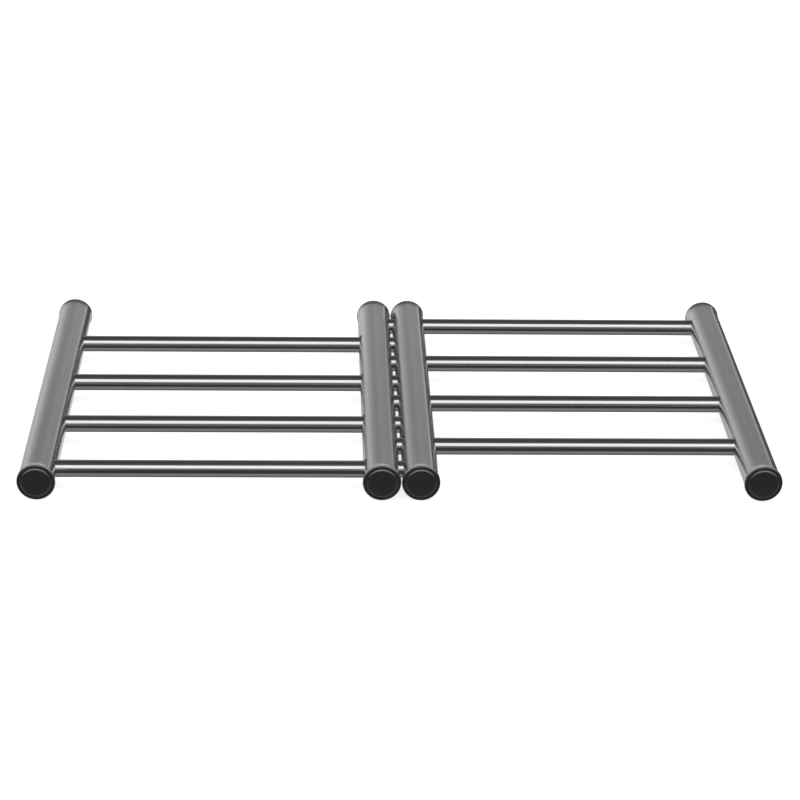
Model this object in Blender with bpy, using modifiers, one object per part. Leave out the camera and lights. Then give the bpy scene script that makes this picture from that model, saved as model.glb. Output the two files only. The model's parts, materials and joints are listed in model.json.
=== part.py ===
"""Extendable pot stand: two sliding halves of steel tube and rod, lying flat and fully drawn out.

Each half is an outer tube and an inner tube that lie parallel, joined by four thinner rods. The
rods of each half run through the inner tube of the other half, so the two halves slide apart
until the two inner tubes meet in the middle, and slide together until each outer tube meets the
inner tube of the other half. The right half is the left half turned by 180 degrees about Z.

Frame: the origin is on the table under the middle of the drawn-out stand, +X is the direction in
which it draws out, +Y points to the back and +Z points up. Lengths are in metres.
"""
from math import cos, pi

import bmesh
import bpy
from mathutils import Matrix

MM = 0.001

# Driving dimensions
TUBE_DIAMETER = 19.0 * MM
END_DIAMETER = 20.2 * MM        # a tube's opened-out ends, on which the stand rests
TUBE_WALL = 1.0 * MM
ROD_DIAMETER = 9.2 * MM
ROD_WALL = 0.8 * MM
DEPTH = 227.0 * MM              # over the faces of the front and back caps
BAY = 180.0 * MM                # outer tube to the nearest inner tube, centre to centre
ROD_SPACING = 54.8 * MM         # between neighbouring rods of one half
ROD_STAGGER = 27.96 * MM        # from a rod of the right half forward to one of the left half
ROD_COUNT = 4
GAP = 0.3 * MM                  # between pieces that touch or fit into each other

# Details of the end caps
FLANGE_DIAMETER = 19.7 * MM
FLANGE_THICKNESS = 0.7 * MM
FLANGE_EDGE = 0.3 * MM          # chamfer on the flange's front edge
DISC_DIAMETER = 16.0 * MM       # raised disc in the middle of the cap's face
DISC_RISE = 0.5 * MM
PLUG_LENGTH = 8.0 * MM          # stops short of the end rods
PLUG_WALL = 1.4 * MM
PLUG_LEAD = 0.5 * MM            # lead-in chamfer on the plug
CAP_WEB = 2.4 * MM              # plastic behind the cap's face

# Details of the tubes and rods
END_CHAMFER = 0.5 * MM
END_LAND = 1.0 * MM             # stretch of a tube's end that has the full end diameter
END_FLARE = 2.5 * MM            # stretch over which the tube opens out to that diameter
ROD_REACH = 5.0 * MM            # how far a rod's end runs past the axis of the tube that holds it
ROD_CHAMFER = 0.3 * MM
CUT_OVERSHOOT = 2.0 * MM        # how far a hole cutter stands out of the tube

# Facets round each turned piece. A flat lies at the true radius, so the tubes' ends rest on flats.
TUBE_SEGMENTS = 32
ROD_SEGMENTS = 20

# Worked out from the above
AXIS_HEIGHT = END_DIAMETER / 2
TUBE_LENGTH = DEPTH - 2 * (DISC_RISE + FLANGE_THICKNESS + GAP)
INNER_PITCH = END_DIAMETER + GAP            # between the axes of the two inner tubes
INNER_X = INNER_PITCH / 2
OUTER_X = INNER_X + BAY
ROD_LENGTH = OUTER_X + INNER_X + 2 * ROD_REACH

STEEL = dict(color=(0.42, 0.42, 0.43, 1.0), metallic=1.0, roughness=0.34)
POLISHED_STEEL = dict(color=(0.62, 0.62, 0.63, 1.0), metallic=1.0, roughness=0.16)
BLACK_PLASTIC = dict(color=(0.021, 0.021, 0.021, 1.0), metallic=0.0, roughness=0.45)


def clear_scene():
    """Remove every object, so that the script can run in any file."""
    for item in list(bpy.data.objects):
        bpy.data.objects.remove(item, do_unlink=True)


def make_collection(name):
    """A new collection under the scene's own."""
    collection = bpy.data.collections.new(name)
    bpy.context.scene.collection.children.link(collection)
    return collection


def make_material(name, color, metallic, roughness):
    """A Principled material with one colour."""
    material = bpy.data.materials.new(name)
    material.use_nodes = True
    material.diffuse_color = color
    shader = material.node_tree.nodes["Principled BSDF"]
    shader.inputs["Base Color"].default_value = color
    shader.inputs["Metallic"].default_value = metallic
    shader.inputs["Roughness"].default_value = roughness
    return material


def turned_mesh(name, profile, segments, closed):
    """Turn a profile of (radius, height) points about local Z; flats lie at the given radii."""
    across_corners = 1 / cos(pi / segments)
    outline = bmesh.new()
    points = [outline.verts.new((radius * across_corners, 0, height)) for radius, height in profile]
    for start, end in zip(points, points[1:]):
        outline.edges.new((start, end))
    if closed:
        outline.edges.new((points[-1], points[0]))
    outline_mesh = bpy.data.meshes.new(name + "_outline")
    outline.to_mesh(outline_mesh)
    outline.free()

    lathe = bpy.data.objects.new(name + "_lathe", outline_mesh)
    bpy.context.scene.collection.objects.link(lathe)
    screw = lathe.modifiers.new("Turn", "SCREW")
    screw.steps = screw.render_steps = segments
    screw.use_merge_vertices = True
    screw.merge_threshold = 0.00001
    depsgraph = bpy.context.evaluated_depsgraph_get()
    mesh = bpy.data.meshes.new_from_object(lathe.evaluated_get(depsgraph))
    mesh.name = name
    bpy.data.objects.remove(lathe, do_unlink=True)

    # Half a step of turn puts a flat, not a corner, at the top, bottom, left and right.
    mesh.transform(Matrix.Rotation(pi / segments, 4, "Z"))
    mesh.shade_smooth()
    mesh.set_sharp_from_angle(angle=pi / 6)
    return mesh


def tube_mesh():
    """A tube about local Z, centred, with its ends opened out a little and chamfered."""
    outer = TUBE_DIAMETER / 2
    inner = outer - TUBE_WALL
    widest = END_DIAMETER / 2
    end = TUBE_LENGTH / 2
    land = end - END_CHAMFER
    upper = [(widest - END_CHAMFER, end), (widest, land), (widest, land - END_LAND),
             (outer, land - END_LAND - END_FLARE)]
    lower = [(radius, -height) for radius, height in reversed(upper)]
    profile = upper + lower + [(inner, -end), (inner, end)]
    return turned_mesh("tube", profile, TUBE_SEGMENTS, closed=True)


def rod_mesh():
    """A thin-walled rod about local Z, centred, chamfered at both ends."""
    outer = ROD_DIAMETER / 2
    inner = outer - ROD_WALL
    end = ROD_LENGTH / 2
    profile = [(outer - ROD_CHAMFER, end), (outer, end - ROD_CHAMFER), (outer, ROD_CHAMFER - end),
               (outer - ROD_CHAMFER, -end), (inner, -end), (inner, end)]
    return turned_mesh("rod", profile, ROD_SEGMENTS, closed=True)


def cap_mesh():
    """An end cap about local Z: its face points to +Z and its flange's back is at height zero."""
    flange = FLANGE_DIAMETER / 2
    disc = DISC_DIAMETER / 2
    face = FLANGE_THICKNESS + DISC_RISE
    plug = TUBE_DIAMETER / 2 - TUBE_WALL - GAP
    bore = plug - PLUG_WALL
    profile = [(0, face), (disc - DISC_RISE, face), (disc, FLANGE_THICKNESS),
               (flange - FLANGE_EDGE, FLANGE_THICKNESS), (flange, FLANGE_THICKNESS - FLANGE_EDGE),
               (flange, 0), (plug, 0), (plug, PLUG_LEAD - PLUG_LENGTH),
               (plug - PLUG_LEAD, -PLUG_LENGTH), (bore, -PLUG_LENGTH),
               (bore, face - CAP_WEB), (0, face - CAP_WEB)]
    return turned_mesh("cap", profile, TUBE_SEGMENTS, closed=False)


def rod_rows():
    """The Y of each rod of the left half, from the front to the back."""
    return [(row - (ROD_COUNT - 1) / 2) * ROD_SPACING - ROD_STAGGER / 2 for row in range(ROD_COUNT)]


def place(name, mesh, material, collection, parent, location, rotation=(0, 0, 0)):
    """One named object of the stand, parented to the empty of its half."""
    item = bpy.data.objects.new(name, mesh)
    collection.objects.link(item)
    item.parent = parent
    item.location = location
    item.rotation_euler = rotation
    if not item.data.materials:
        item.data.materials.append(None)
    item.material_slots[0].link = "OBJECT"
    item.material_slots[0].material = material
    return item


def hole_cutter(name, holes, collection, parent, location):
    """One cutter for all of a tube's holes. Each hole is (Y, lowest X, highest X) from its axis."""
    cutter = bmesh.new()
    radius = (ROD_DIAMETER / 2 + GAP) / cos(pi / ROD_SEGMENTS)
    flats_up = Matrix.Rotation(pi / ROD_SEGMENTS, 4, "Z")
    along_x = Matrix.Rotation(pi / 2, 4, "Y")
    for row, low, high in holes:
        centre = Matrix.Translation(((low + high) / 2, row, 0))
        bmesh.ops.create_cone(cutter, cap_ends=True, segments=ROD_SEGMENTS, radius1=radius,
                              radius2=radius, depth=high - low, matrix=centre @ along_x @ flats_up)
    mesh = bpy.data.meshes.new(name)
    cutter.to_mesh(mesh)
    cutter.free()
    item = bpy.data.objects.new(name, mesh)
    collection.objects.link(item)
    item.parent = parent
    item.location = location
    item.hide_render = True
    item.display_type = "WIRE"
    return item


def cut(item, cutter):
    """Cut a piece with an exact Boolean."""
    boolean = item.modifiers.new("Holes", "BOOLEAN")
    boolean.operation = "DIFFERENCE"
    boolean.solver = "EXACT"
    boolean.object = cutter


def build_half(side, turn, meshes, materials, stand, cutters):
    """One half: outer tube, inner tube, their four end caps and the four rods that join them."""
    frame = bpy.data.objects.new(side + "_half", None)
    stand.objects.link(frame)
    frame.location = (0, 0, AXIS_HEIGHT)
    frame.rotation_euler = (0, 0, turn)

    own_rods = rod_rows()
    other_rods = [-row for row in own_rods]
    reach = TUBE_DIAMETER / 2 + CUT_OVERSHOOT
    towards_inner = [(row, 0, reach) for row in own_rods]
    towards_outer = [(row, -reach, 0) for row in own_rods]
    right_through = [(row, -reach, reach) for row in other_rods]
    tubes = {"outer": (-OUTER_X, towards_inner), "inner": (INNER_X, towards_outer + right_through)}

    lying_to_front = (pi / 2, 0, 0)
    lying_to_back = (-pi / 2, 0, 0)
    for position, (x, holes) in tubes.items():
        name = side + "_" + position
        tube = place(name + "_tube", meshes["tube"], materials["tube"], stand, frame, (x, 0, 0),
                     lying_to_front)
        cut(tube, hole_cutter(name + "_tube_holes", holes, cutters, frame, (x, 0, 0)))
        cap_y = TUBE_LENGTH / 2 + GAP
        # The turned half's own front is at the back of the stand, so its caps swap names.
        front, back = ("front", "back") if turn == 0 else ("back", "front")
        place(name + "_cap_" + front, meshes["cap"], materials["cap"], stand, frame,
              (x, -cap_y, 0), lying_to_front)
        place(name + "_cap_" + back, meshes["cap"], materials["cap"], stand, frame,
              (x, cap_y, 0), lying_to_back)

    rod_x = (INNER_X - OUTER_X) / 2
    rows = own_rods if turn == 0 else own_rods[::-1]
    for number, row in enumerate(rows, start=1):
        place(side + "_rod_" + str(number), meshes["rod"], materials["rod"], stand, frame,
              (rod_x, row, 0), (0, pi / 2, 0))


def main():
    clear_scene()
    stand = make_collection("extendable_pot_stand")
    cutters = make_collection("cutters")
    meshes = {"tube": tube_mesh(), "rod": rod_mesh(), "cap": cap_mesh()}
    materials = {"tube": make_material("brushed_steel", **STEEL),
                 "rod": make_material("polished_steel", **POLISHED_STEEL),
                 "cap": make_material("black_plastic", **BLACK_PLASTIC)}
    build_half("left", 0, meshes, materials, stand, cutters)
    build_half("right", pi, meshes, materials, stand, cutters)


main()
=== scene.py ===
"""Looks of the extendable pot stand: fine steel tubes, polished rods and moulded end caps.

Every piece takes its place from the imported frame, and the tubes and rods take their lengths and
outermost radii too. The other sizes are the named values below.
"""
import json
from math import asin, cos, degrees, pi, radians, sin, sqrt, tan

import bmesh
import bpy
from mathutils import Matrix, Vector

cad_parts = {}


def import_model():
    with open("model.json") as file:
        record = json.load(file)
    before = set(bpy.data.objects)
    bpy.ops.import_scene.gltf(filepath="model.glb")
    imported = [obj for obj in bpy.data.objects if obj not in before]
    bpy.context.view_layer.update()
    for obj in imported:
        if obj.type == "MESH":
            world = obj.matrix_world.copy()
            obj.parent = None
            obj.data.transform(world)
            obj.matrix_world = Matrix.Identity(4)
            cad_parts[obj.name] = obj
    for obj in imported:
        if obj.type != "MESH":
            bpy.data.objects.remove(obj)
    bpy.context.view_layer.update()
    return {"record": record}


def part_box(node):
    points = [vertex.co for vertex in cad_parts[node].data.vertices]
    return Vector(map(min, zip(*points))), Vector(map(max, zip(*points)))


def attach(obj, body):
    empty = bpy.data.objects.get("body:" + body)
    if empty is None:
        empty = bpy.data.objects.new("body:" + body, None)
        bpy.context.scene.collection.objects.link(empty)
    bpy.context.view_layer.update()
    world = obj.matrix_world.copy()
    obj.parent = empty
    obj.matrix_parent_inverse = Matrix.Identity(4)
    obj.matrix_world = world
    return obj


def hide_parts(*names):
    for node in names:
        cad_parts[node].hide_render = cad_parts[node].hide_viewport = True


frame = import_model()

MM = 0.001

SHARP_ANGLE = radians(35)       # edges that turn further than this are shaded sharp
ON_AXIS = 0.001 * MM            # radius below which a turned point lies on its axis

# Camera: place and turn of a long lens that looks down on the stand from a little left of its middle
CAMERA_PLACE = (-0.0453, -1.2182, 0.5702)
CAMERA_LENS = 106.8
CAMERA_DOWN = radians(24.84)
CAMERA_YAW = radians(2.255)
CAMERA_ROLL = radians(1.16)

# Tubes
TUBE_RADIUS = 9.5 * MM
TUBE_WALL = 1.0 * MM
FLARE_LENGTH = 4.0 * MM         # from a tube's end to where it starts to open out
END_ROUND = 0.5 * MM            # radius of the end's outer edge
END_TURN = 65                   # degrees that the edge turns from straight outward to the end's face
FIXED_CLEARANCE = 0.08 * MM     # round a rod's end, in the wall that it is pressed into
SLIDING_CLEARANCE = 0.9 * MM    # round a rod that slides through the wall
LIP_ROUND = 0.2 * MM            # rounding of a hole's lip

# Mesh of the tubes
TUBE_COLUMNS = 64               # round the tube; a hole's patch takes a quarter of them
ROW_STEP = 5.0 * MM             # about the height of a plain row between patches
PATCH_HALF = TUBE_COLUMNS // 8  # columns and rows from a hole's centre to its patch's edge
PATCH_REACH = 6.4 * MM          # from a hole's centre to its patch's edge, along the tube
PATCH_RINGS = 5                 # bands of faces from a patch's edge to its hole's lip
LIP_STEPS = 4
FLARE_STEPS = 8
END_STEPS = 10

# Rods
ROD_SEGMENTS = 64
ROD_ROWS = 24                   # rows of faces along a rod
ROD_WALL = 0.8 * MM
ROD_EDGE = 0.3 * MM             # rounding of a rod's end
ROD_EDGE_STEPS = 4

# End caps
CAP_SEGMENTS = 96
DISC_RADIUS = 8.0 * MM
DISC_RISE = 0.5 * MM
DISC_SLOPE = radians(42)        # of the bevel round the disc
DISC_SOFT = 1.2 * MM            # radius of the shoulder between bevel and face
DISC_FOOT = 0.05 * MM           # height of the bevel's foot over the flange
DISC_GROOVE = 0.25 * MM         # radius of the groove round the disc
FACE_RINGS = (0.25, 0.5, 0.75)  # rings of vertices on the face, as shares of the disc's radius
FLANGE_RADIUS = 10.0 * MM
FLANGE_THICKNESS = 0.75 * MM
FLANGE_EDGE = 0.6 * MM          # rounding of the flange's front edge
FLANGE_BACK_EDGE = 0.1 * MM
PLUG_RADIUS = 8.2 * MM
PLUG_LENGTH = 8.0 * MM
PLUG_LEAD = 0.5 * MM            # lead-in chamfer on the plug
PLUG_WALL = 1.4 * MM
CAP_WEB = 2.4 * MM              # plastic behind the cap's face

# Steps in the arcs of the caps' profile
SHOULDER_STEPS = 8
GROOVE_STEPS = 4
FLANGE_EDGE_STEPS = 7
BACK_EDGE_STEPS = 3

# Steel: scales of the noise that varies it, along a bar and across it, in waves for each metre
GRAIN_ALONG, GRAIN_ACROSS = 9000.0, 160.0
CLOUD_ALONG, CLOUD_ACROSS = 35.0, 90.0
NOISE_SUM = (0.6, 1.4)          # usual range of the two noises' sum
ROUGHNESS_SPREAD = 0.08         # share by which the roughness varies either way
GRAIN_DEPTH = 0.01 * MM

# Black plastic
PLASTIC_IOR = 1.75
PLASTIC_TONES = (0.0055, 0.0085)
PLASTIC_ROUGHNESS = (0.26, 0.34)
PLASTIC_NOISE = (0.3, 0.7)      # usual range of one noise
SPARK_SCALE = 2600.0
SPARK_DEPTH = 0.03 * MM
SPARK_STRENGTH = 0.25
PLASTIC_CLOUD_SCALE = 220.0

# Floor, lamp and the world's plain white
FLOOR_HALF = 6.0
FLOOR_DROP = 0.1 * MM           # below the stand, so that the two don't share a plane
FLOOR_TONE = 0.35
FLOOR_GLOW = 0.80
LAMP_HEIGHT = 1.6
LAMP_SIZE = 2.4
LAMP_POWER = 22
WHITE = 0.95

# Studio tones that shiny surfaces reflect, as (degrees, tone) stops; world() says how they lie
OVER_TONES = [(-180, 1.25), (-155, 1.1), (-145, 0.35), (-100, 0.24), (-60, 0.33), (-46, 0.25),
              (-40, 0.05), (-8, 0.05), (10, 0.12), (24, 0.30), (36, 1.42), (62, 1.62), (71, 0.16),
              (100, 0.08), (140, 0.08), (150, 0.12), (158, 0.57), (168, 1.05), (180, 1.25)]
SIDE_TONES = [(-180, 1.0), (-95, 1.1), (-80, 0.6), (-72, 0.55), (-66, 0.7), (-58, 0.5), (-50, 0.65),
              (-42, 0.77), (-30, 0.77), (-22, 0.78), (-14, 0.8), (-5, 0.85), (0, 0.95), (6, 1.0),
              (12, 0.88), (22, 0.66), (30, 0.5), (36, 0.47), (38.5, 0.75), (40.5, 0.72), (42.5, 0.3),
              (45, 0.06), (64, 0.08), (72, 0.6), (80, 1.2), (90, 1.0), (180, 1.0)]
SIDE_LIFT = 0.45                # added to a direction's Z before its angle to the side is taken
SIDE_FADE = (-0.3, 0.0)         # values of a direction's Y between which the side tones fade in

# Sockets of a Mix node that mixes colours: three inputs and an output
MIX_FACTOR, MIX_A, MIX_B, MIX_RESULT = 0, 6, 7, 2


# ---------------------------------------------------------------- geometry helpers

def finish_mesh(name, bm, material):
    """Turn a bmesh into a shown object: outward faces, smooth but for its sharp edges."""
    loose = [v for v in bm.verts if not v.link_faces]
    bmesh.ops.delete(bm, geom=loose, context="VERTS")
    bmesh.ops.recalc_face_normals(bm, faces=bm.faces)
    mesh = bpy.data.meshes.new(name)
    bm.to_mesh(mesh)
    bm.free()
    mesh.shade_smooth()
    mesh.set_sharp_from_angle(angle=SHARP_ANGLE)
    mesh.materials.append(material)
    item = bpy.data.objects.new(name, mesh)
    bpy.context.scene.collection.objects.link(item)
    return item


def strip(bm, loop_a, loop_b):
    """A closed band of quads between two loops of the same number of vertices."""
    count = len(loop_a)
    for k in range(count):
        n = (k + 1) % count
        bm.faces.new((loop_a[k], loop_a[n], loop_b[n], loop_b[k]))


def arc(centre, radius, start, end, steps):
    """Points of an arc in (radius, height), from one angle to another, in degrees."""
    turn = [radians(start + (end - start) * k / steps) for k in range(steps + 1)]
    return [(centre[0] + radius * cos(t), centre[1] + radius * sin(t)) for t in turn]


def turned(bm, profile, segments, place):
    """Turn a profile of (radius, height) points about local Z, then put it in place."""
    rings = []
    for radius, height in profile:
        if radius < ON_AXIS:
            rings.append([bm.verts.new(place @ Vector((0, 0, height)))])
            continue
        turns = [2 * pi * k / segments for k in range(segments)]
        rings.append([bm.verts.new(place @ Vector((radius * cos(t), radius * sin(t), height)))
                      for t in turns])
    for upper, lower in zip(rings, rings[1:]):
        if len(upper) == 1 or len(lower) == 1:
            tip, loop = (upper[0], lower) if len(upper) == 1 else (lower[0], upper)
            for k in range(segments):
                bm.faces.new((tip, loop[k], loop[(k + 1) % segments]))
        else:
            strip(bm, upper, lower)
    return rings


# ---------------------------------------------------------------- tubes

def tube_ring(bm, centre, radius, y):
    """A ring of vertices round a tube's axis."""
    turns = [2 * pi * k / TUBE_COLUMNS for k in range(TUBE_COLUMNS)]
    return [bm.verts.new((centre.x + radius * cos(t), y, centre.z + radius * sin(t)))
            for t in turns]


def rod_holes(tube, rods, own_rods):
    """Each hole that a rod needs in a tube's wall: (Y, side) and radius. Side 1 is its +X wall."""
    low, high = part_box(tube)
    holes = {}
    for rod in rods:
        rod_low, rod_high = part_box(rod)
        if rod_high.x < low.x or rod_low.x > high.x:
            continue
        row = (rod_low.y + rod_high.y) / 2
        clearance = FIXED_CLEARANCE if rod in own_rods else SLIDING_CLEARANCE
        radius = (rod_high.z - rod_low.z) / 2 + clearance
        if rod_low.x < low.x:
            holes[(row, -1)] = radius
        if rod_high.x > high.x:
            holes[(row, 1)] = radius
    return holes


def tube_rows(half_length, holes):
    """Heights along the tube of its rings of vertices, and the ring at each hole's centre."""
    centres = sorted({row for row, side in holes})
    rows, centre_ring = [], {}
    edge = -half_length + FLARE_LENGTH
    for centre in centres + [None]:
        stop = half_length - FLARE_LENGTH if centre is None else centre - PATCH_REACH
        plain = max(1, round((stop - edge) / ROW_STEP))
        rows += [edge + (stop - edge) * k / plain for k in range(plain)]
        if centre is None:
            rows.append(stop)
            break
        centre_ring[centre] = len(rows) + PATCH_HALF
        rows += [centre + PATCH_REACH * k / PATCH_HALF for k in range(-PATCH_HALF, PATCH_HALF)]
        edge = centre + PATCH_REACH
    return rows, centre_ring


def patch_edge(grid, ring, column):
    """The vertices round a hole's patch, from its +Y end towards higher columns.

    Each comes with its turn about the tube and its Y, both from the hole's centre.
    """
    steps = [(PATCH_HALF, k) for k in range(PATCH_HALF)]
    steps += [(k, PATCH_HALF) for k in range(PATCH_HALF, -PATCH_HALF, -1)]
    steps += [(-PATCH_HALF, k) for k in range(PATCH_HALF, -PATCH_HALF, -1)]
    steps += [(k, -PATCH_HALF) for k in range(-PATCH_HALF, PATCH_HALF)]
    steps += [(PATCH_HALF, k) for k in range(-PATCH_HALF, 0)]
    return [(grid[ring + up][(column + across) % TUBE_COLUMNS],
             2 * pi * across / TUBE_COLUMNS, up * PATCH_REACH / PATCH_HALF)
            for up, across in steps]


def hole_column(side):
    """The column of a skin's grid that a hole is centred on."""
    return 0 if side == 1 else TUBE_COLUMNS // 2


def cut_hole(bm, edge, axis_point, side, radius, hole, lip):
    """Draw a skin in from a patch's edge to a round hole and over its lip; give the last loop.

    axis_point is the point of the tube's axis beside the hole.
    """
    axis_x, row, axis_z = axis_point
    turns = [2 * pi * k / len(edge) for k in range(len(edge))]
    outer_loop = [vertex for vertex, turn, up in edge]
    mouth = hole + lip[0][0]
    for ring in range(1, PATCH_RINGS + 1):
        share = ring / PATCH_RINGS
        loop = []
        for angle, (vertex, edge_turn, edge_up) in zip(turns, edge):
            lip_turn = asin(mouth * sin(angle) / radius)
            turn = edge_turn + (lip_turn - edge_turn) * share
            up = edge_up + (mouth * cos(angle) - edge_up) * share
            x = axis_x + side * radius * cos(turn)
            z = axis_z + side * radius * sin(turn)
            loop.append(bm.verts.new((x, row + up, z)))
        strip(bm, outer_loop, loop)
        outer_loop = loop
    for outside, depth in lip[1:]:
        rim_radius = hole + outside
        loop = []
        for angle in turns:
            z = side * rim_radius * sin(angle)
            x = side * (sqrt(radius ** 2 - z ** 2) - depth)
            loop.append(bm.verts.new((axis_x + x, row + rim_radius * cos(angle), axis_z + z)))
        strip(bm, outer_loop, loop)
        outer_loop = loop
    return outer_loop


def skin(bm, centre, radius, rows, centre_ring, holes, lip):
    """One skin of a tube with its holes cut out: its end loops and the loop round each hole.

    The lip lists how far each ring of a hole's edge lies outside the hole and below the skin.
    """
    grid = [tube_ring(bm, centre, radius, row) for row in rows]
    patch = range(-PATCH_HALF, PATCH_HALF)
    cut = {(centre_ring[row] + up, (hole_column(side) + across) % TUBE_COLUMNS)
           for row, side in holes for up in patch for across in patch}
    for ring in range(len(rows) - 1):
        for column in range(TUBE_COLUMNS):
            if (ring, column) not in cut:
                after = (column + 1) % TUBE_COLUMNS
                bm.faces.new((grid[ring][column], grid[ring][after],
                              grid[ring + 1][after], grid[ring + 1][column]))

    loops = {}
    for (row, side), hole in holes.items():
        edge = patch_edge(grid, centre_ring[row], hole_column(side))
        loops[(row, side)] = cut_hole(bm, edge, (centre.x, row, centre.z), side, radius, hole, lip)
    return grid[0], grid[-1], loops


def end_profile(flared):
    """A tube's bell-mouthed end and its round edge, as (radius, distance from the end) points.

    They are two arcs that touch. The first starts along the tube and ends beside the second.
    """
    rise = flared - TUBE_RADIUS
    widest = END_ROUND * sin(radians(END_TURN))
    run = FLARE_LENGTH - widest
    span = (run ** 2 + rise ** 2) / (2 * rise)
    swing = degrees(asin(run / span))
    bend = span - END_ROUND
    bell = arc((TUBE_RADIUS + bend, FLARE_LENGTH), bend, 180, 180 + swing, FLARE_STEPS)
    edge = arc((flared - END_ROUND, widest), END_ROUND, swing, -END_TURN, END_STEPS)
    return bell[1:] + edge[1:]


def close_end(bm, centre, half_length, direction, profile, outer_loop, inner_loop):
    """Carry a tube's outer skin along its end's profile and across to its inner skin."""
    for radius, from_end in profile + [(TUBE_RADIUS - TUBE_WALL, 0)]:
        loop = tube_ring(bm, centre, radius, centre.y + direction * (half_length - from_end))
        strip(bm, outer_loop, loop)
        outer_loop = loop
    strip(bm, outer_loop, inner_loop)


def tube_piece(node, rods, own_rods, material):
    """A tube with bell-mouthed ends and a softly rounded hole for every rod."""
    low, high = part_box(node)
    centre = (low + high) / 2
    half_length = (high.y - low.y) / 2
    holes = rod_holes(node, rods, own_rods)
    rows, centre_ring = tube_rows(half_length, holes)

    bends = [k * pi / 2 / LIP_STEPS for k in range(LIP_STEPS + 1)]
    lip = [(LIP_ROUND * (1 - sin(t)), LIP_ROUND * (1 - cos(t))) for t in bends]
    bm = bmesh.new()
    outer = skin(bm, centre, TUBE_RADIUS, rows, centre_ring, holes, lip)
    inner = skin(bm, centre, TUBE_RADIUS - TUBE_WALL, rows, centre_ring, holes, [(0, 0)])
    for key, loop in outer[2].items():
        strip(bm, loop, inner[2][key])

    profile = end_profile((high.z - low.z) / 2)
    for direction, outer_loop, inner_loop in ((-1, outer[0], inner[0]), (1, outer[1], inner[1])):
        close_end(bm, centre, half_length, direction, profile, outer_loop, inner_loop)
    return finish_mesh(node + "_brushed", bm, material)


# ---------------------------------------------------------------- rods

def rod_piece(node, material):
    """A thin-walled rod with rounded ends."""
    low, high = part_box(node)
    centre = (low + high) / 2
    outer = (high.z - low.z) / 2
    end = (high.x - low.x) / 2
    bore = outer - ROD_WALL
    plain = end - ROD_EDGE
    profile = arc((outer - ROD_EDGE, plain), ROD_EDGE, 90, 0, ROD_EDGE_STEPS)
    profile += [(outer, plain * (1 - 2 * k / ROD_ROWS)) for k in range(1, ROD_ROWS)]
    profile += arc((outer - ROD_EDGE, -plain), ROD_EDGE, 0, -90, ROD_EDGE_STEPS)
    profile += [(bore, -end), (bore, end)]
    place = Matrix.Translation(centre) @ Matrix.Rotation(pi / 2, 4, "Y")
    bm = bmesh.new()
    rings = turned(bm, profile, ROD_SEGMENTS, place)
    strip(bm, rings[-1], rings[0])
    return finish_mesh(node + "_polished", bm, material)


# ---------------------------------------------------------------- end caps

def disc_edge(face_height):
    """Profile of the raised disc's edge: a soft shoulder, then a bevel down to the flange."""
    bevel = (DISC_RISE - DISC_SOFT * (1 - cos(DISC_SLOPE))) / tan(DISC_SLOPE)
    shoulder = DISC_RADIUS - bevel - DISC_SOFT * sin(DISC_SLOPE)
    turn = 90 - degrees(DISC_SLOPE)
    return (arc((shoulder, face_height - DISC_SOFT), DISC_SOFT, 90, turn, SHOULDER_STEPS)
            + [(DISC_RADIUS, FLANGE_THICKNESS + DISC_FOOT)])


def cap_piece(node, material):
    """A moulded end cap: rounded flange, raised disc in a fine groove, and a hollow plug."""
    low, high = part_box(node)
    centre = (low + high) / 2
    outward = 1 if centre.y > 0 else -1
    face = high.y if outward == 1 else low.y
    face_height = FLANGE_THICKNESS + DISC_RISE
    bore = PLUG_RADIUS - PLUG_WALL

    profile = [(0, face_height)]
    profile += [(DISC_RADIUS * share, face_height) for share in FACE_RINGS]
    profile += disc_edge(face_height)
    profile += arc((DISC_RADIUS + DISC_GROOVE, FLANGE_THICKNESS), DISC_GROOVE,
                   180, 270, GROOVE_STEPS)
    profile += arc((FLANGE_RADIUS - FLANGE_EDGE, FLANGE_THICKNESS - FLANGE_EDGE), FLANGE_EDGE,
                   90, 0, FLANGE_EDGE_STEPS)
    profile += arc((FLANGE_RADIUS - FLANGE_BACK_EDGE, FLANGE_BACK_EDGE), FLANGE_BACK_EDGE,
                   0, -90, BACK_EDGE_STEPS)
    profile += [(PLUG_RADIUS, 0), (PLUG_RADIUS, PLUG_LEAD - PLUG_LENGTH),
                (PLUG_RADIUS - PLUG_LEAD, -PLUG_LENGTH), (bore, -PLUG_LENGTH),
                (bore, face_height - CAP_WEB), (0, face_height - CAP_WEB)]
    lying = Matrix.Rotation(-outward * pi / 2, 4, "X")
    place = Matrix.Translation((centre.x, face - outward * face_height, centre.z)) @ lying
    bm = bmesh.new()
    turned(bm, profile, CAP_SEGMENTS, place)
    return finish_mesh(node + "_moulded", bm, material)


# ---------------------------------------------------------------- materials

def principled(name):
    """A new material, its node tree and its shader."""
    material = bpy.data.materials.new(name)
    material.use_nodes = True
    tree = material.node_tree
    return material, tree, tree.nodes["Principled BSDF"]


def node(tree, kind, inputs=(), **settings):
    """A node with its settings and its inputs, each a value or another node's output socket."""
    made = tree.nodes.new(kind)
    for key, value in settings.items():
        setattr(made, key, value)
    for key, value in dict(inputs).items():
        if isinstance(value, bpy.types.NodeSocket):
            tree.links.new(value, made.inputs[key])
        else:
            made.inputs[key].default_value = value
    return made


def value_range(tree, value, before, after):
    """The value with one range, a (lowest, highest) pair, mapped to another: an output socket."""
    mapped = node(tree, "ShaderNodeMapRange", {"Value": value,
                                               "From Min": before[0], "From Max": before[1],
                                               "To Min": after[0], "To Max": after[1]})
    return mapped.outputs["Result"]


def grey(tree, tone):
    """A grey of a tone socket: an output socket."""
    color = node(tree, "ShaderNodeCombineColor", {"Red": tone, "Green": tone, "Blue": tone})
    return color.outputs["Color"]


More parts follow.
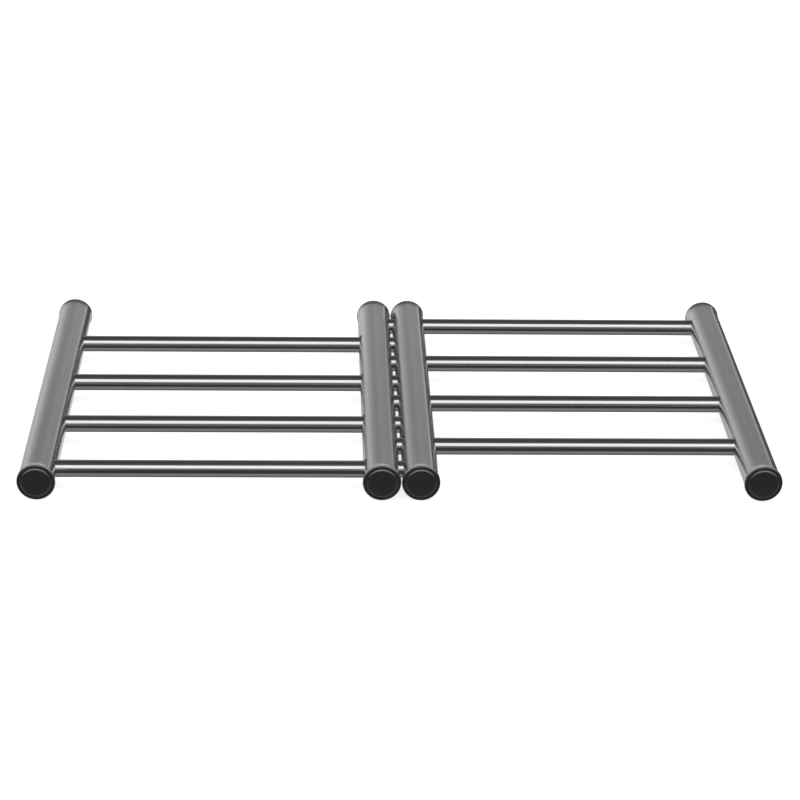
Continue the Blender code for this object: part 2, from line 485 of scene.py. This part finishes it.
def bar_noise(tree, place, axis, along, across, detail):
    """Noise with one scale along a bar and another across it: an output socket."""
    scale = [along if letter == axis else across for letter in "XYZ"]
    stretched = node(tree, "ShaderNodeMapping", {"Vector": place.outputs["Object"],
                                                 "Scale": scale})
    noise = node(tree, "ShaderNodeTexNoise", {"Vector": stretched.outputs["Vector"],
                                              "Scale": 1.0, "Detail": detail})
    return noise.outputs["Fac"]


def steel_material(name, axis, tone, streak, tint, roughness, bump):
    """Steel ground round a bar: fine grain across the bar's axis, soft shifts of tone along it.

    axis is the letter of the bar's own direction, streak the size of the tone shifts, and tint
    the tone of reflections at a grazing angle.
    """
    material, tree, shader = principled(name)
    shader.inputs["Metallic"].default_value = 1.0
    shader.inputs["Specular Tint"].default_value = (tint, tint, tint, 1)
    shader.inputs["Anisotropic"].default_value = 1.0
    # A quarter turn spreads the highlights along the bar, across its grain.
    shader.inputs["Anisotropic Rotation"].default_value = 0.25
    place = node(tree, "ShaderNodeTexCoord")
    # The grain runs round the bar, so it is fine along the bar and long across it.
    grain = bar_noise(tree, place, axis, GRAIN_ALONG, GRAIN_ACROSS, detail=2.0)
    cloud = bar_noise(tree, place, axis, CLOUD_ALONG, CLOUD_ACROSS, detail=3.0)
    mixed = node(tree, "ShaderNodeMath", {0: grain, 1: cloud}, operation="ADD").outputs["Value"]
    color = grey(tree, value_range(tree, mixed, NOISE_SUM, (tone - streak, tone + streak)))
    rough = value_range(tree, mixed, NOISE_SUM, (roughness * (1 - ROUGHNESS_SPREAD),
                                                 roughness * (1 + ROUGHNESS_SPREAD)))
    height = node(tree, "ShaderNodeBump", {"Height": grain, "Strength": bump,
                                           "Distance": GRAIN_DEPTH})
    tangent = node(tree, "ShaderNodeTangent", direction_type="RADIAL", axis=axis)
    tree.links.new(color, shader.inputs["Base Color"])
    tree.links.new(rough, shader.inputs["Roughness"])
    tree.links.new(height.outputs["Normal"], shader.inputs["Normal"])
    tree.links.new(tangent.outputs["Tangent"], shader.inputs["Tangent"])
    return material


def plastic_material(name):
    """Black moulded plastic with a fine spark-eroded grain."""
    material, tree, shader = principled(name)
    shader.inputs["IOR"].default_value = PLASTIC_IOR
    shader.inputs["Specular IOR Level"].default_value = 1.0
    place = node(tree, "ShaderNodeTexCoord")
    spark = node(tree, "ShaderNodeTexNoise", {"Vector": place.outputs["Object"],
                                              "Scale": SPARK_SCALE, "Detail": 3.0})
    cloud = node(tree, "ShaderNodeTexNoise", {"Vector": place.outputs["Object"],
                                              "Scale": PLASTIC_CLOUD_SCALE, "Detail": 2.0})
    color = grey(tree, value_range(tree, cloud.outputs["Fac"], PLASTIC_NOISE, PLASTIC_TONES))
    rough = value_range(tree, spark.outputs["Fac"], PLASTIC_NOISE, PLASTIC_ROUGHNESS)
    height = node(tree, "ShaderNodeBump", {"Height": spark.outputs["Fac"],
                                           "Strength": SPARK_STRENGTH, "Distance": SPARK_DEPTH})
    tree.links.new(color, shader.inputs["Base Color"])
    tree.links.new(rough, shader.inputs["Roughness"])
    tree.links.new(height.outputs["Normal"], shader.inputs["Normal"])
    return material


# ---------------------------------------------------------------- stage

def camera():
    """The scene's camera, at its viewpoint."""
    data = bpy.data.cameras.new("camera")
    data.lens = CAMERA_LENS
    data.sensor_width = 36
    item = bpy.data.objects.new("camera", data)
    turn = (Matrix.Rotation(-CAMERA_YAW, 4, "Z") @ Matrix.Rotation(pi / 2 - CAMERA_DOWN, 4, "X")
            @ Matrix.Rotation(CAMERA_ROLL, 4, "Z"))
    item.matrix_world = Matrix.Translation(CAMERA_PLACE) @ turn
    bpy.context.scene.collection.objects.link(item)
    bpy.context.scene.camera = item


def floor():
    """A plain pale table top, which shiny surfaces don't mirror."""
    bm = bmesh.new()
    bmesh.ops.create_grid(bm, x_segments=1, y_segments=1, size=FLOOR_HALF)
    mesh = bpy.data.meshes.new("floor")
    bm.to_mesh(mesh)
    bm.free()
    item = bpy.data.objects.new("floor", mesh)
    item.location.z = -FLOOR_DROP
    item.visible_glossy = False
    bpy.context.scene.collection.objects.link(item)
    material, tree, shader = principled("floor_paint")
    shader.inputs["Base Color"].default_value = (FLOOR_TONE, FLOOR_TONE, FLOOR_TONE, 1)
    shader.inputs["Roughness"].default_value = 0.9
    shader.inputs["Specular IOR Level"].default_value = 0.0
    shader.inputs["Emission Color"].default_value = (1, 1, 1, 1)
    shader.inputs["Emission Strength"].default_value = FLOOR_GLOW
    mesh.materials.append(material)


def overhead_lamp():
    """A square soft box over the stand, facing down, which shiny surfaces don't mirror."""
    data = bpy.data.lights.new("overhead", "AREA")
    data.shape = "SQUARE"
    data.size = LAMP_SIZE
    data.energy = LAMP_POWER
    item = bpy.data.objects.new("overhead", data)
    item.location.z = LAMP_HEIGHT
    item.visible_glossy = False
    item.visible_camera = False
    bpy.context.scene.collection.objects.link(item)


def tone_ramp(tree, angle, tones):
    """Tones by an angle socket in radians: (degrees from -180 to 180, tone) stops, in order."""
    ramp = node(tree, "ShaderNodeValToRGB", {"Fac": value_range(tree, angle, (-pi, pi), (0, 1))})
    stops = ramp.color_ramp.elements
    stops.remove(stops[-1])
    for number, (degrees_round, tone) in enumerate(tones):
        position = (degrees_round + 180) / 360
        stop = stops[0] if number == 0 else stops.new(position)
        stop.position = position
        stop.color = (tone, tone, tone, 1)
    return ramp.outputs["Color"]


def world():
    """The studio: plain white light, but soft boxes and dark walls in what shiny surfaces mirror.

    They mirror the product of two sets of tones. The first goes by the angle in the YZ plane, from
    straight ahead of the stand's front (0) over the top (90) to its back (180), and negative below.
    The second goes by the angle from straight up (0) to the right (90) or the left (-90). It is
    faded out towards the front and holds behind.
    """
    made = bpy.data.worlds.new("studio")
    bpy.context.scene.world = made
    made.use_nodes = True
    tree = made.node_tree
    background = tree.nodes["Background"]
    place = node(tree, "ShaderNodeTexCoord")
    parts = node(tree, "ShaderNodeSeparateXYZ", {"Vector": place.outputs["Generated"]})
    front = node(tree, "ShaderNodeMath", {0: parts.outputs["Y"], 1: -1.0}, operation="MULTIPLY")
    over = node(tree, "ShaderNodeMath", {0: parts.outputs["Z"], 1: front.outputs["Value"]},
                operation="ARCTAN2")
    raised = node(tree, "ShaderNodeMath", {0: parts.outputs["Z"], 1: SIDE_LIFT}, operation="ADD")
    across = node(tree, "ShaderNodeMath", {0: parts.outputs["X"], 1: raised.outputs["Value"]},
                  operation="ARCTAN2")
    tone = node(tree, "ShaderNodeMix",
                {MIX_FACTOR: value_range(tree, parts.outputs["Y"], SIDE_FADE, (0, 1)),
                 MIX_A: tone_ramp(tree, over.outputs["Value"], OVER_TONES),
                 MIX_B: tone_ramp(tree, across.outputs["Value"], SIDE_TONES)},
                data_type="RGBA", blend_type="MULTIPLY")
    path = node(tree, "ShaderNodeLightPath")
    seen = node(tree, "ShaderNodeMix", {MIX_FACTOR: path.outputs["Is Glossy Ray"],
                                        MIX_A: (WHITE, WHITE, WHITE, 1),
                                        MIX_B: tone.outputs[MIX_RESULT]}, data_type="RGBA")
    tree.links.new(seen.outputs[MIX_RESULT], background.inputs["Color"])


def main():
    bpy.context.scene.view_settings.view_transform = "Standard"
    camera()
    floor()
    world()
    overhead_lamp()

    tube_steel = steel_material("tube_steel_brushed", axis="Y", tone=0.66, streak=0.03, tint=1.0,
                                roughness=0.24, bump=0.04)
    rod_steel = steel_material("rod_steel_polished", axis="X", tone=0.60, streak=0.02, tint=0.2,
                               roughness=0.22, bump=0.0)
    plastic = plastic_material("cap_plastic_black")

    bodies = frame["record"]["behaviour"]["bodies"]
    rods = [name for names in bodies.values() for name in names if "_rod_" in name]
    for body, names in bodies.items():
        for name in names:
            if name.endswith("_tube"):
                piece, slot = tube_piece(name, rods, names, tube_steel), "tube_steel"
            elif "_rod_" in name:
                piece, slot = rod_piece(name, rod_steel), "rod_steel"
            else:
                piece, slot = cap_piece(name, plastic), "cap_plastic"
            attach(piece, body)
            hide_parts(name)


main()
